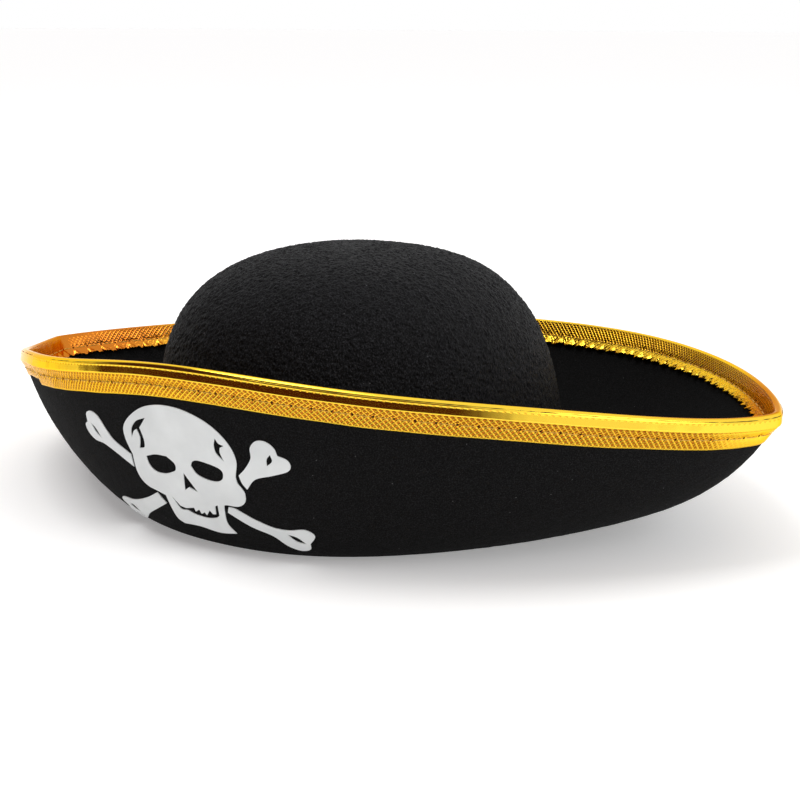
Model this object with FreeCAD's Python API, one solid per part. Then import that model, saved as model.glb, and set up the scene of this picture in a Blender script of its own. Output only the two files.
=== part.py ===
import FreeCAD, Part
import math
import os

# Costume pirate hat in black felt, in millimetres. +Z is up, the wearer faces -Y, and the brim's
# two tips lie along X. The origin is the centre of the head opening, on the plane the hat rests on.

# Felt and head opening
felt = 2.5                      # thickness of crown and brim
opening_half_width = 78.0       # inside of the felt, across the head
opening_half_length = 96.3      # inside of the felt, front to back
opening_power = 2.2             # 2 is an ellipse, more is squarer

# Crown
crown_height = 108.0
crown_fullness = 0.769          # 0.55 is a round dome, more has a squarer shoulder
crown_lean = 16.2               # how far the top leans to the front
crown_side_lean = 0.4           # share of that lean which the side already has

# Brim edge, seen from above
tip_reach = 188.0               # centre to each tip
front_reach = 135.0
back_reach = 151.0
tip_taper = 1.62                # 1 is an ellipse, more draws the tips out
tip_roundness = 0.1
tip_forward = 2.0               # the tips lie this far in front of the centre

# Brim edge, height above the resting plane
tip_rise = 51.0
front_rise = 76.7
back_rise = 49.6
rise_spread = 2.5               # how soon the edge climbs away from the tips
tip_slant = 5.6                 # the +X tip is this much higher than the mean, the other lower
edge_wave = 1.0                 # shallow waves of the soft front edge
edge_waves = 8
wave_crest = 271.0              # degrees round from +X

# Brim profile, from the ledge round the opening out to the edge
ledge_outside_crown = 3.0
ledge_pull_sides = 7.6          # how far the flat foot runs on before it turns up
ledge_pull_front = 1.0
slope_at_tips = 64.0            # steepness of the brim at its edge, degrees
slope_at_front = 77.0
slope_at_back = 65.0

# Gold binding folded over the brim edge
tape = 0.4
tape_gap = 0.1
binding_depth = 12.5
binding_stitch_depth = 7.4
binding_stitch_pitch = 7.6
binding_stitch_length = 6.2
binding_thread = 0.35
round_reach = 4 / 3             # poles stand this much further out than the curve they round

# Emblem film on the brim front
film = 0.2
film_gap = 0.05
print_room = 15.0               # the outlines are pressed on from this far in front of the brim

# Sweatband and its stitches
band_top = 26.0
band_bottom = 1.2
band_thickness = 0.8
band_gap = 0.6
band_stitch_height = 4.5
band_stitch_pitch = 5.0
band_stitch_length = 3.6
band_thread = 0.4

# Overcast seam between crown and ledge, behind the sweatband
seam_stitch_pitch = 6.0
seam_stitch_length = 3.2
seam_thread = 0.25
seam_gap = 0.27                 # from the felt to the thread

# Fineness of the construction
columns = 72                    # profiles round the hat
probe = math.radians(0.5)       # small step round the hat, for directions
profile_step = 0.01             # the same along a profile
profile_limit = 1.1             # profiles may be followed this far past their end
halvings = 24                   # steps of each search along a profile

V = FreeCAD.Vector


def plan(phi, half_width, half_length):
    c, s = math.cos(phi), math.sin(phi)
    power = 2.0 / opening_power
    return V(
        math.copysign(abs(c) ** power, c) * half_width,
        math.copysign(abs(s) ** power, s) * half_length,
        0,
    )


def brim_edge(phi):
    c, s = math.cos(phi), math.sin(phi)
    front = s < 0
    reach = front_reach if front else back_reach
    rise = front_rise if front else back_rise
    roundness = tip_roundness**2
    draw = ((s * s + roundness) / (1 + roundness)) ** ((tip_taper - 1) / 2)
    z = tip_rise + (rise - tip_rise) * abs(s) ** rise_spread + tip_slant * c
    if front:
        z += edge_wave * s * s * math.cos(edge_waves * (phi - math.radians(wave_crest)))
    return V(tip_reach * c, reach * s * draw - tip_forward * c**4, z)


def brim_outside(phi):
    """Four poles of the brim's outer profile, from the ledge to the edge."""
    s = math.sin(phi)
    share = abs(s) ** rise_spread
    slope_end = slope_at_front if s < 0 else slope_at_back
    slope = math.radians(slope_at_tips + (slope_end - slope_at_tips) * share)
    pull = ledge_pull_sides + (ledge_pull_front - ledge_pull_sides) * share
    ring = felt + ledge_outside_crown
    foot = plan(phi, opening_half_width + ring, opening_half_length + ring)
    edge = brim_edge(phi)
    outward = V(edge.x - foot.x, edge.y - foot.y, 0)
    outward.normalize()
    low = V(edge.x, edge.y, 0) - outward * (edge.z / math.tan(slope))
    return [foot, foot + outward * pull, low, edge]


def crown_sheet(inset):
    """The crown's profile, moved in from its outer face by inset."""

    def poles(phi):
        half_width = opening_half_width + felt - inset
        half_length = opening_half_length + felt - inset
        height = crown_height - inset
        rim = plan(phi, half_width, half_length)
        low_lean, lean = V(0, -crown_side_lean * crown_lean, 0), V(0, -crown_lean, 0)
        side = rim + low_lean + V(0, 0, crown_fullness * height)
        shoulder = rim * crown_fullness + lean + V(0, 0, height)
        return [rim, side, shoulder, V(0, 0, height) + lean]

    return poles


def between(poles, start, end):
    """The stretch of a cubic profile from one parameter to another, as four poles."""

    def blossom(a, b, c):
        row = list(poles)
        for t in (a, b, c):
            row = [row[i] * (1 - t) + row[i + 1] * t for i in range(len(row) - 1)]
        return row[0]

    return [
        blossom(start, start, start),
        blossom(start, start, end),
        blossom(start, end, end),
        blossom(end, end, end),
    ]


def point_at(poles, t):
    return between(poles, t, t)[0]


def solve(measure, goal):
    """Parameter of a profile where a rising measure reaches its goal."""
    low, high = 0.0, profile_limit
    for _ in range(halvings):
        middle = (low + high) / 2
        if measure(middle) < goal:
            low = middle
        else:
            high = middle
    return low


def at_height(poles, height):
    return solve(lambda t: point_at(poles, t).z, height)


def at_depth(poles, depth):
    """Parameter of the point that lies a given depth back from the end of the profile."""
    end = poles[-1]
    along = (poles[-1] - poles[-2]).normalize()
    return solve(lambda t: (point_at(poles, t) - end).dot(along), -depth)


def normal_at(sheet, phi, t):
    across = point_at(sheet(phi + probe), t) - point_at(sheet(phi - probe), t)
    start, end = t - profile_step, min(t + profile_step, 1.0)
    along = point_at(sheet(phi), end) - point_at(sheet(phi), start)
    return across.cross(along).normalize()


def raised(sheet, height):
    """The sheet moved off along its normal, outwards for a positive height."""

    def poles(phi):
        row = sheet(phi)
        return [row[i] + normal_at(sheet, phi, i / 3) * height for i in range(4)]

    return poles


def strip(*rows):
    """Face that closes round the hat; each row is a function of phi that gives one or more poles."""
    table = []
    for i in range(columns):
        phi = 2 * math.pi * i / columns
        column = []
        for row in rows:
            value = row(phi)
            column += value if isinstance(value, list) else [value]
        table.append(column)
    degree = len(table[0]) - 1
    surface = Part.BSplineSurface()
    surface.buildFromPolesMultsKnots(
        table,
        [1] * (columns + 1),
        [degree + 1, degree + 1],
        [float(k) for k in range(columns + 1)],
        [0.0, 1.0],
        True,
        False,
        3,
        degree,
    )
    return surface.toShape()


def closed_curve(path):
    """Closed smooth curve round the hat, the same as the border of a strip."""
    curve = Part.BSplineCurve()
    poles = [path(2 * math.pi * i / columns) for i in range(columns)]
    knots = [float(k) for k in range(columns + 1)]
    curve.buildFromPolesMultsKnots(poles, [1] * (columns + 1), knots, True, 3)
    return curve


def flat_ring(outer_path, inner_path):
    wires = [Part.Wire(closed_curve(path).toShape()) for path in (outer_path, inner_path)]
    return Part.makeFace(Part.makeCompound(wires), "Part::FaceMakerBullseye")


def closed_solid(faces):
    shell = Part.makeCompound(faces)
    shell.sewShape()
    solid = Part.Solid(shell.Shells[0])
    if solid.Volume < 0:
        solid.reverse()
    return solid


def first(sheet):
    return lambda phi: sheet(phi)[0]


def last(sheet):
    return lambda phi: sheet(phi)[-1]


def slab(outer, inner, open_top=True):
    """Solid between two sheets, closed by a flat strip at the start and, if open, at the end."""
    faces = [strip(outer), strip(inner), strip(first(outer), first(inner))]
    if open_top:
        faces.append(strip(last(outer), last(inner)))
    return closed_solid(faces)


def from_height(sheet, bottom, top=None):
    def poles(phi):
        row = sheet(phi)
        end = 1.0 if top is None else at_height(row, top)
        return between(row, at_height(row, bottom), end)

    return poles


def near_edge(sheet, depth, over):
    """The last stretch of a sheet, from a depth below the brim edge to a little beyond it."""
    return lambda phi: between(sheet(phi), at_depth(sheet(phi), depth), at_depth(sheet(phi), -over))


def brim_inside(phi):
    return raised(brim_outside, -felt)(phi)


def crown_felt():
    return slab(from_height(crown_sheet(0), felt), from_height(crown_sheet(felt), felt), open_top=False)


def brim_felt():
    def opening(height):
        return lambda phi: plan(phi, opening_half_width, opening_half_length) + V(0, 0, height)

    return closed_solid(
        [
            flat_ring(first(brim_outside), opening(0)),
            strip(brim_outside),
            strip(last(brim_outside), last(brim_inside)),
            strip(brim_inside),
            strip(first(brim_inside), opening(felt)),
            strip(opening(felt), opening(0)),
        ]
    )


def binding_leg(sheet, side, level):
    """One face of the folded ribbon, level away from the felt on its outer (1) or inner (-1) side."""
    return near_edge(raised(sheet, side * level), binding_depth, tape_gap)


def gold_binding():
    outer_back = binding_leg(brim_outside, 1, tape_gap)
    outer_front = binding_leg(brim_outside, 1, tape_gap + tape)
    inner_back = binding_leg(brim_inside, -1, tape_gap)
    inner_front = binding_leg(brim_inside, -1, tape_gap + tape)

    def over_edge(sheet):
        def pole(phi):
            row = sheet(phi)
            return row[3] + (row[3] - row[2]).normalize() * (tape * round_reach)

        return pole

    return closed_solid(
        [
            strip(outer_front),
            strip(outer_back),
            strip(first(outer_front), first(outer_back)),
            strip(inner_front),
            strip(inner_back),
            strip(first(inner_front), first(inner_back)),
            strip(last(outer_back), last(inner_back)),
            strip(last(outer_front), over_edge(outer_front), over_edge(inner_front), last(inner_front)),
        ]
    )


def places_along(curve, pitch):
    """Distances along a closed curve, evenly spaced by very nearly one pitch."""
    count = round(curve.length() / pitch)
    return [curve.length() * n / count for n in range(count)]


def thread_bar(start, end, thickness):
    return Part.makeCylinder(thickness / 2, (end - start).Length, start, end - start)


def stitch_line(path, pitch, length, thickness, side):
    """Straight stitches along a path on the outer (1) or inner (-1) side of the hat.

    On the outer side a stitch touches the path at its middle, on the hollow inner side at its ends.
    """
    curve = closed_curve(path)

    def point(distance):
        return curve.value(curve.parameterAtDistance(distance % curve.length()))

    bars = []
    for middle in places_along(curve, pitch):
        start, end = point(middle - length / 2), point(middle + length / 2)
        if side > 0:
            bow = point(middle) - (start + end) * 0.5
            start, end = start + bow, end + bow
        bars.append(thread_bar(start, end, thickness))
    return Part.makeCompound(bars)


def binding_stitches(sheet, side):
    level = tape_gap + tape + binding_thread / 2 + tape_gap
    lifted = raised(sheet, side * level)
    return stitch_line(
        lambda phi: point_at(lifted(phi), at_depth(lifted(phi), binding_stitch_depth)),
        binding_stitch_pitch,
        binding_stitch_length,
        binding_thread,
        side,
    )


def sweatband():
    outer = from_height(crown_sheet(felt + band_gap), band_bottom, band_top)
    inner = from_height(crown_sheet(felt + band_gap + band_thickness), band_bottom, band_top)
    return slab(outer, inner)


def sweatband_stitches():
    sheet = crown_sheet(felt + band_gap + band_thickness + band_thread)
    return stitch_line(
        lambda phi: point_at(sheet(phi), at_height(sheet(phi), band_stitch_height)),
        band_stitch_pitch,
        band_stitch_length,
        band_thread,
        -1,
    )


def crown_seam_stitches():
    sheet = crown_sheet(felt + seam_gap + seam_thread / 2)

    def level(height):
        return closed_curve(lambda phi: point_at(sheet(phi), at_height(sheet(phi), height)))

    low, high = level(felt - seam_stitch_length / 2), level(felt + seam_stitch_length / 2)
    places = [low.parameterAtDistance(distance) for distance in places_along(low, seam_stitch_pitch)]
    return Part.makeCompound([thread_bar(low.value(u), high.value(u), seam_thread) for u in places])


# Emblem outlines on the front of the brim, as (x, z) points. Each list is one smooth stretch, and
# stretches meet at corners.
skull_outline = [
    [(22.8, 36), (24.9, 43.5), (22.6, 50.8), (16, 57.3), (6, 61.3), (-4, 62), (-14, 59.8),
     (-22.8, 54.8), (-28.4, 49.3), (-29.3, 43.8), (-27.6, 37.5)],
    [(-27.6, 37.5), (-28.3, 31.5), (-27.4, 27), (-24.3, 24.1), (-19.5, 22.8)],
    [(-19.5, 22.8), (-15.6, 21.7)],
    [(-15.6, 21.7), (-15, 15.5), (-14, 11.3), (-11.3, 9.5)],
    [(-11.3, 9.5), (-3, 9.8), (6, 8.6), (14.2, 9.6)],
    [(14.2, 9.6), (11.9, 14), (13, 20.6)],
    [(13, 20.6), (14.2, 22.7), (19.8, 22.9), (23.6, 25.2), (24.8, 29.5), (22.9, 33.5), (22.8, 36)],
]
left_eye = [
    [(-19.7, 38.2), (-14, 39.9), (-8.2, 40.1)],
    [(-8.2, 40.1), (-5, 37.6), (-5.3, 34.8), (-8, 33.2), (-12, 32), (-16.8, 32.2), (-19.2, 34.6),
     (-19.7, 38.2)],
]
right_eye = [
    [(3.1, 38), (4.6, 40), (7.8, 40.8), (15, 39.4), (17.5, 37.6), (16.8, 34.6), (14, 32.9),
     (9.6, 33), (5, 34.7), (3.1, 38)],
]
nose = [
    [(-1.7, 34.2), (0.5, 30.4), (2.7, 26.6)],
    [(2.7, 26.6), (-1, 28)],
    [(-1, 28), (-3.7, 26.2)],
    [(-3.7, 26.2), (-2.7, 30.2), (-1.7, 34.2)],
]
tooth_tips = [(-12.1, 21.9), (-9.3, 18.1), (-6.5, 17.6), (-2.2, 18.6), (-2, 16.9), (0.2, 18.2), (0.7, 16.4),
              (2.6, 17.4), (3.2, 16.2), (5.5, 18.9), (6.5, 17.3), (8, 17.5), (9, 21.3), (10.4, 22),
              (9.5, 17.2)]
teeth = [[a, b] for a, b in zip(tooth_tips, tooth_tips[1:])] + [
    [(9.5, 17.2), (7.4, 15.8), (3, 15), (-2.5, 15.5), (-6, 16.7), (-9.8, 16.9), (-12.1, 21.9)],
]
left_crack = [
    [(-14.4, 55.2), (-20, 53), (-23.9, 49.2), (-25, 45.2)],
    [(-25, 45.2), (-22.9, 48.2), (-21, 49.4)],
    [(-21, 49.4), (-20.3, 46), (-22, 41.2)],
    [(-22, 41.2), (-19, 42.2), (-18.2, 46), (-19, 50.4)],
    [(-19, 50.4), (-17, 52.4), (-14.4, 55.2)],
]
right_crack = [
    [(18, 51.6), (19, 49.6), (21.2, 48.8)],
    [(21.2, 48.8), (19.2, 47.8)],
    [(19.2, 47.8), (18.7, 45.6), (19.6, 42.2)],
    [(19.6, 42.2), (16.9, 45.2), (16.7, 48.4), (18, 51.6)],
]
bones = {
    "upper_left": (
        [
            [(-28.8, 37.2), (-37.4, 41.6), (-41, 45.7), (-44.5, 50.6), (-48.5, 51.9), (-52.4, 50.3),
             (-53.3, 46.4)],
            [(-53.3, 46.4), (-55.7, 44.6), (-55, 41.5), (-51.3, 38.9), (-45, 38.4), (-38, 35.8),
             (-29.3, 31.6)],
            [(-29.3, 31.6), (-28.8, 37.2)],
        ],
        [[(-50.8, 46.4), (-48, 44.4), (-45.8, 40.8)], [(-45.8, 40.8), (-48.9, 42.9), (-50.8, 46.4)]],
    ),
    "upper_right": (
        [
            [(24.4, 37), (27.8, 40.2), (31.3, 44.9), (32.1, 49.4), (34.9, 52.3), (38.4, 52.6),
             (41.4, 50.3), (42.2, 47.1)],
            [(42.2, 47.1), (45.4, 45.8), (46.4, 43.2), (44.6, 40.8), (38.3, 38.5), (31, 36.1),
             (26.4, 31.3)],
            [(26.4, 31.3), (24.9, 33.8), (24.4, 37)],
        ],
        [[(39.5, 47.3), (39.7, 44.6), (37.2, 42.4)], [(37.2, 42.4), (37.7, 45.2), (39.5, 47.3)]],
    ),
    "lower_right": (
        [
            [(15.4, 22), (18.4, 21.7), (24.5, 18.4), (31.8, 15.4), (38, 14.8), (44.5, 15.7),
             (47.3, 13), (43.9, 8.8)],
            [(43.9, 8.8), (42.6, 6), (38.5, 4.9), (34.6, 6.8), (30.5, 11.2), (22.6, 14.4), (14.2, 19.4)],
            [(14.2, 19.4), (15.4, 22)],
        ],
        [[(36.8, 12.8), (40.2, 11.7), (42.6, 8.7)], [(42.6, 8.7), (39.1, 9.7), (36.8, 12.8)]],
    ),
    "lower_left": (
        [
            [(-20.3, 21.9), (-28.2, 17.8), (-38.5, 14.2), (-47.5, 13.2), (-51.2, 10.6), (-49.4, 8)],
            [(-49.4, 8), (-49.6, 4.8), (-45, 3.2), (-39.2, 4.4), (-32.2, 9.2), (-24.6, 13.4), (-17, 17.6)],
            [(-17, 17.6), (-20.3, 21.9)],
        ],
        [[(-46, 9.8), (-43, 10.4), (-40, 7.8)], [(-40, 7.8), (-43.1, 8.2), (-46, 9.8)]],
    ),
}


def outline_wire(stretches):
    edges = []
    for points in stretches:
        places = [V(x, -front_reach - print_room, z) for x, z in points]
        if len(places) == 2:
            edges.append(Part.makeLine(*places))
        else:
            curve = Part.BSplineCurve()
            curve.interpolate(places)
            edges.append(curve.toShape())
    return Part.Wire(edges)


def print_film(outline, holes):
    """Thin film on the brim's outer face, with the given outline seen from the front."""
    wires = [outline_wire(stretches) for stretches in [outline] + holes]
    face = Part.makeFace(Part.makeCompound(wires), "Part::FaceMakerBullseye")
    return film_layer.common(face.extrude(V(0, front_reach + print_room, 0)))


def save(name, shape):
    solids = shape.Solids
    volume = sum(s.Volume for s in solids)
    print(f"{name}: {len(solids)} solid(s), {volume / 1000:.2f} cm3, valid {shape.isValid()}")
    shape.exportStep(f"parts/{name}.step")


os.makedirs("parts", exist_ok=True)
save("crown_felt", crown_felt())
save("brim_felt", brim_felt())
save("gold_binding", gold_binding())
save("binding_needle_thread", binding_stitches(brim_outside, 1))
save("binding_bobbin_thread", binding_stitches(brim_inside, -1))
save("sweatband", sweatband())
save("sweatband_stitches", sweatband_stitches())
save("crown_seam_stitches", crown_seam_stitches())
film_layer = slab(raised(brim_outside, film_gap + film), raised(brim_outside, film_gap))
save("skull_print", print_film(skull_outline, [left_eye, right_eye, nose, teeth, left_crack, right_crack]))
for place, (outline, slit) in bones.items():
    save(f"bone_print_{place}", print_film(outline, [slit]))
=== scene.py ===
import math

import bpy
import numpy as np
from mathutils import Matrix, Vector
from mathutils.bvhtree import BVHTree
from mathutils.geometry import delaunay_2d_cdt


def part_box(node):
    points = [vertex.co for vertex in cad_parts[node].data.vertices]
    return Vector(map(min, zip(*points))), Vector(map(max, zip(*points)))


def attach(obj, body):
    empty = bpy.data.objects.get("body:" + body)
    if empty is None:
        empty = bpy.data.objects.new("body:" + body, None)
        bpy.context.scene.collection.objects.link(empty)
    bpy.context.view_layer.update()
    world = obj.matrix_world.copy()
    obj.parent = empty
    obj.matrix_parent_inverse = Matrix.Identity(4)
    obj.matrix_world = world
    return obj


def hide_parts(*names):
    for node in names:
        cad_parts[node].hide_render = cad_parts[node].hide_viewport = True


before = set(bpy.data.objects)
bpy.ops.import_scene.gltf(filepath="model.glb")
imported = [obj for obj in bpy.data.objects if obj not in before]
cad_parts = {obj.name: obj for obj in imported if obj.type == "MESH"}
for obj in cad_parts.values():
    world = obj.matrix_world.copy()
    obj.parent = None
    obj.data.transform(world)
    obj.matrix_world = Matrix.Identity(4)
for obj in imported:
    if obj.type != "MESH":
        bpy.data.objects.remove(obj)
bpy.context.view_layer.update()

mm = 0.001
_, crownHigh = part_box("crown_felt")
print("frame loaded:", len(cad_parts), "pieces, crown top at", round(crownHigh.z, 4))

# The hat's form: the felt of the brim follows one profile all round, from the ledge to the edge
felt = 2.5 * mm
hat = {
    "openingHalfWidth": 78.0 * mm,
    "openingHalfLength": 96.3 * mm,
    "planPower": 2.2,
    "crownHeight": crownHigh.z,
    "crownFullness": 0.769,
    "crownLean": 16.2 * mm,
    "crownSideLean": 0.4,
    "ledge": 3.0 * mm,
    "tipReach": 188.0 * mm,
    "frontReach": 135.0 * mm,
    "backReach": 151.0 * mm,
    "tipTaper": 1.62,
    "tipRoundness": 0.1,
    "tipForward": 2.0 * mm,
    "tipRise": 51.0 * mm,
    "frontRise": 76.7 * mm,
    "backRise": 49.6 * mm,
    "riseSpread": 2.5,
    "tipSlant": 5.6 * mm,
    "edgeWave": 1.0 * mm,
    "edgeWaves": 8,
    "waveCrest": math.radians(271),
    "pullSides": 7.6 * mm,
    "pullFront": 1.0 * mm,
    "slopeTips": math.radians(64),
    "slopeFront": math.radians(77),
    "slopeBack": math.radians(65),
    "softWave": 0.35 * mm,
}


def planPoint(phi, halfWidth, halfLength):
    c, s = np.cos(phi), np.sin(phi)
    power = 2 / hat["planPower"]
    x = np.sign(c) * np.abs(c) ** power * halfWidth
    y = np.sign(s) * np.abs(s) ** power * halfLength
    return np.stack([x, y, np.zeros_like(x)], -1)


def brimPoles(phi):
    c, s = np.cos(phi), np.sin(phi)
    front = s < 0
    spread = np.abs(s) ** hat["riseSpread"]
    reach = np.where(front, hat["frontReach"], hat["backReach"])
    rise = np.where(front, hat["frontRise"], hat["backRise"])
    draw = (s * s + hat["tipRoundness"] ** 2) / (1 + hat["tipRoundness"] ** 2)
    draw = draw ** ((hat["tipTaper"] - 1) / 2)
    ripple = np.cos(hat["edgeWaves"] * (phi - hat["waveCrest"])) * s * s * hat["edgeWave"]
    z = hat["tipRise"] + (rise - hat["tipRise"]) * spread + hat["tipSlant"] * c + np.where(front, ripple, 0)
    edge = np.stack([hat["tipReach"] * c, reach * s * draw - hat["tipForward"] * c**4, z], -1)
    ring = felt + hat["ledge"]
    foot = planPoint(phi, hat["openingHalfWidth"] + ring, hat["openingHalfLength"] + ring)
    outward = (edge - foot) * [1, 1, 0]
    outward /= np.linalg.norm(outward, axis=-1, keepdims=True)
    steepest = np.where(front, hat["slopeFront"], hat["slopeBack"])
    slope = hat["slopeTips"] + (steepest - hat["slopeTips"]) * spread
    pull = hat["pullSides"] + (hat["pullFront"] - hat["pullSides"]) * spread
    low = edge * [1, 1, 0] - outward * (z / np.tan(slope))[..., None]
    return foot, foot + outward * pull[..., None], low, edge


def cubic(poles, t):
    t = np.asarray(t)[..., None]
    a, b, c, d = poles
    return (1 - t) ** 3 * a + 3 * (1 - t) ** 2 * t * b + 3 * (1 - t) * t * t * c + t**3 * d


def unit(v):
    return v / np.maximum(np.linalg.norm(v, axis=-1, keepdims=True), 1e-12)


def brimPoint(phi, t, lift=0.0):
    step, dt = math.radians(0.4), 0.004
    point = cubic(brimPoles(phi), t)
    across = cubic(brimPoles(phi + step), t) - cubic(brimPoles(phi - step), t)
    along = cubic(brimPoles(phi), t + dt) - cubic(brimPoles(phi), t - dt)
    normal = unit(np.cross(across, along))
    # slow waves of pressed felt, which fade out toward the ledge
    soft = np.sin(3 * phi + 7 * t) * np.sin(5 * phi - 4 * t + 1.3) + 0.6 * np.sin(11 * phi + 5 * t)
    soft = soft * hat["softWave"] * np.clip(t * 1.6 - 0.35, 0, 1) ** 2
    return point + normal * (np.asarray(lift) + soft)[..., None]


edgeSamples = np.linspace(0, 2 * math.pi, 7201)  # every 0.05 degrees round the edge
edgeLine = cubic(brimPoles(edgeSamples), np.ones_like(edgeSamples))
edgeRun = np.concatenate([[0], np.cumsum(np.linalg.norm(np.diff(edgeLine, axis=0), axis=1))])
edgeLength = edgeRun[-1]


def phiAlong(run):
    return np.interp(run, edgeRun, edgeSamples)


def depthToT(phi, depth):
    ts = np.linspace(0.5, 1.08, 60)  # from halfway up the brim to just past its edge
    out = np.empty((len(phi), len(np.atleast_1d(depth[0]))))
    poles = brimPoles(phi)
    line = np.stack([cubic(poles, np.full(len(phi), t)) for t in ts], 1)
    run = np.concatenate(
        [np.zeros((len(phi), 1)), np.cumsum(np.linalg.norm(np.diff(line, axis=1), axis=2), 1)], 1
    )
    for i in range(len(phi)):
        atEdge = np.interp(1.0, ts, run[i])
        out[i] = np.interp(atEdge - depth[i], run[i], ts)
    return out


# Smooth noise from -1 to 1, along a line and in space
def hashNoise(x, seed):
    cell = np.floor(x)
    share = x - cell
    share = share * share * (3 - 2 * share)
    a = np.modf(np.sin((cell + seed) * 127.1) * 43758.5453)[0]
    b = np.modf(np.sin((cell + 1 + seed) * 127.1) * 43758.5453)[0]
    return a + (b - a) * share


def surfaceNoise(points, size, seed):
    p = points / size + seed * 17.3
    cell = np.floor(p).astype(np.int64)
    f = p - cell
    f = f * f * (3 - 2 * f)
    total = np.zeros(points.shape[:-1])
    for i in (0, 1):
        for j in (0, 1):
            for k in (0, 1):
                c = cell + [i, j, k]
                h = (c[..., 0] * 73856093) ^ (c[..., 1] * 19349663) ^ (c[..., 2] * 83492791) ^ (seed * 7919)
                h = (h ^ (h >> 13)) * 1274126177
                value = ((h ^ (h >> 16)) & 0xFFFF) / 65535.0 * 2 - 1
                w = np.abs(1 - i - f[..., 0]) * np.abs(1 - j - f[..., 1]) * np.abs(1 - k - f[..., 2])
                total += value * w
    return total


def meshObject(name, verts, faces, uvs=None, smooth=True):
    mesh = bpy.data.meshes.new(name)
    mesh.from_pydata(verts.reshape(-1, 3).tolist(), [], faces)
    if uvs is not None:
        layer = mesh.uv_layers.new(name="run")
        layer.data.foreach_set("uv", np.asarray(uvs, np.float32).ravel())
    if smooth:
        mesh.polygons.foreach_set("use_smooth", np.ones(len(mesh.polygons), bool))
    mesh.update()
    obj = bpy.data.objects.new(name, mesh)
    bpy.context.scene.collection.objects.link(obj)
    return obj


def ringObject(name, grid, uvGrid=None):
    cols, rows = grid.shape[:2]
    i, j = np.meshgrid(np.arange(cols), np.arange(rows), indexing="ij")
    nextI, nextJ = (i + 1) % cols, (j + 1) % rows
    corners = ((i, j), (nextI, j), (nextI, nextJ), (i, nextJ))
    faces = np.stack([a * rows + b for a, b in corners], -1).reshape(-1, 4)
    uvs = None
    if uvGrid is not None:
        us, vs = uvGrid
        usNext = np.append(us[1:], 2 * us[-1] - us[-2])
        u0, u1 = us[i], usNext[i]
        v0, v1 = vs[j], vs[nextJ]
        v1 = np.where(nextJ == 0, vs[j], v1)
        corners = ((u0, v0), (u1, v0), (u1, v1), (u0, v1))
        uvs = np.stack([np.stack(corner, -1) for corner in corners], 2)
    return meshObject(name, grid, faces.tolist(), uvs)


# Helpers that put shader nodes together
def newMaterial(name):
    material = bpy.data.materials.new(name)
    material.use_nodes = True
    tree = material.node_tree
    shader = tree.nodes["Principled BSDF"]
    return material, tree, shader


def node(tree, kind, **values):
    made = tree.nodes.new(kind)
    for key, value in values.items():
        if key[:2] == "in" and key[2:].isdigit():
            made.inputs[int(key[2:])].default_value = value
        else:
            setattr(made, key, value)
    return made


def mathNode(tree, operation, a, b=None, c=None):
    made = tree.nodes.new("ShaderNodeMath")
    made.operation = operation
    for k, value in enumerate((a, b, c)):
        if value is None:
            continue
        if hasattr(value, "is_output"):
            tree.links.new(value, made.inputs[k])
        else:
            made.inputs[k].default_value = value
    return made.outputs[0]


def rampNode(tree, value, stops):
    ramp = tree.nodes.new("ShaderNodeValToRGB")
    elements = ramp.color_ramp.elements
    while len(elements) < len(stops):
        elements.new(0.5)
    for element, (place, colour) in zip(elements, stops):
        element.position = place
        element.color = (*colour, 1)
    tree.links.new(value, ramp.inputs[0])
    return ramp.outputs[0]


def rangeNode(tree, value, start, end, low=0.0, high=1.0, kind="SMOOTHSTEP"):
    made = node(tree, "ShaderNodeMapRange", interpolation_type=kind)
    tree.links.new(value, made.inputs["Value"])
    for label, number in (("From Min", start), ("From Max", end), ("To Min", low), ("To Max", high)):
        made.inputs[label].default_value = number
    return made.outputs[0]


def bandMask(tree, value, low, high, soft):
    rise = rangeNode(tree, value, low - soft, low + soft)
    fall = rangeNode(tree, value, high + soft, high - soft)
    return mathNode(tree, "MULTIPLY", rise, fall)


def mixColour(tree, factor, under, over):
    mix = node(tree, "ShaderNodeMix", data_type="RGBA")
    tree.links.new(factor, mix.inputs["Factor"])
    tree.links.new(under, mix.inputs["A"])
    mix.inputs["B"].default_value = (*over, 1)
    return mix.outputs["Result"]


def squared(tree, value):
    return mathNode(tree, "MULTIPLY", value, value)


def newGroup(name, inputs, outputs):
    group = bpy.data.node_groups.new(name, "ShaderNodeTree")
    for label, kind, value in inputs:
        socket = group.interface.new_socket(name=label, in_out="INPUT", socket_type=kind)
        if value is not None:
            socket.default_value = value
    for label, kind in outputs:
        group.interface.new_socket(name=label, in_out="OUTPUT", socket_type=kind)
    return group, group.nodes.new("NodeGroupInput").outputs, group.nodes.new("NodeGroupOutput").inputs


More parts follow.
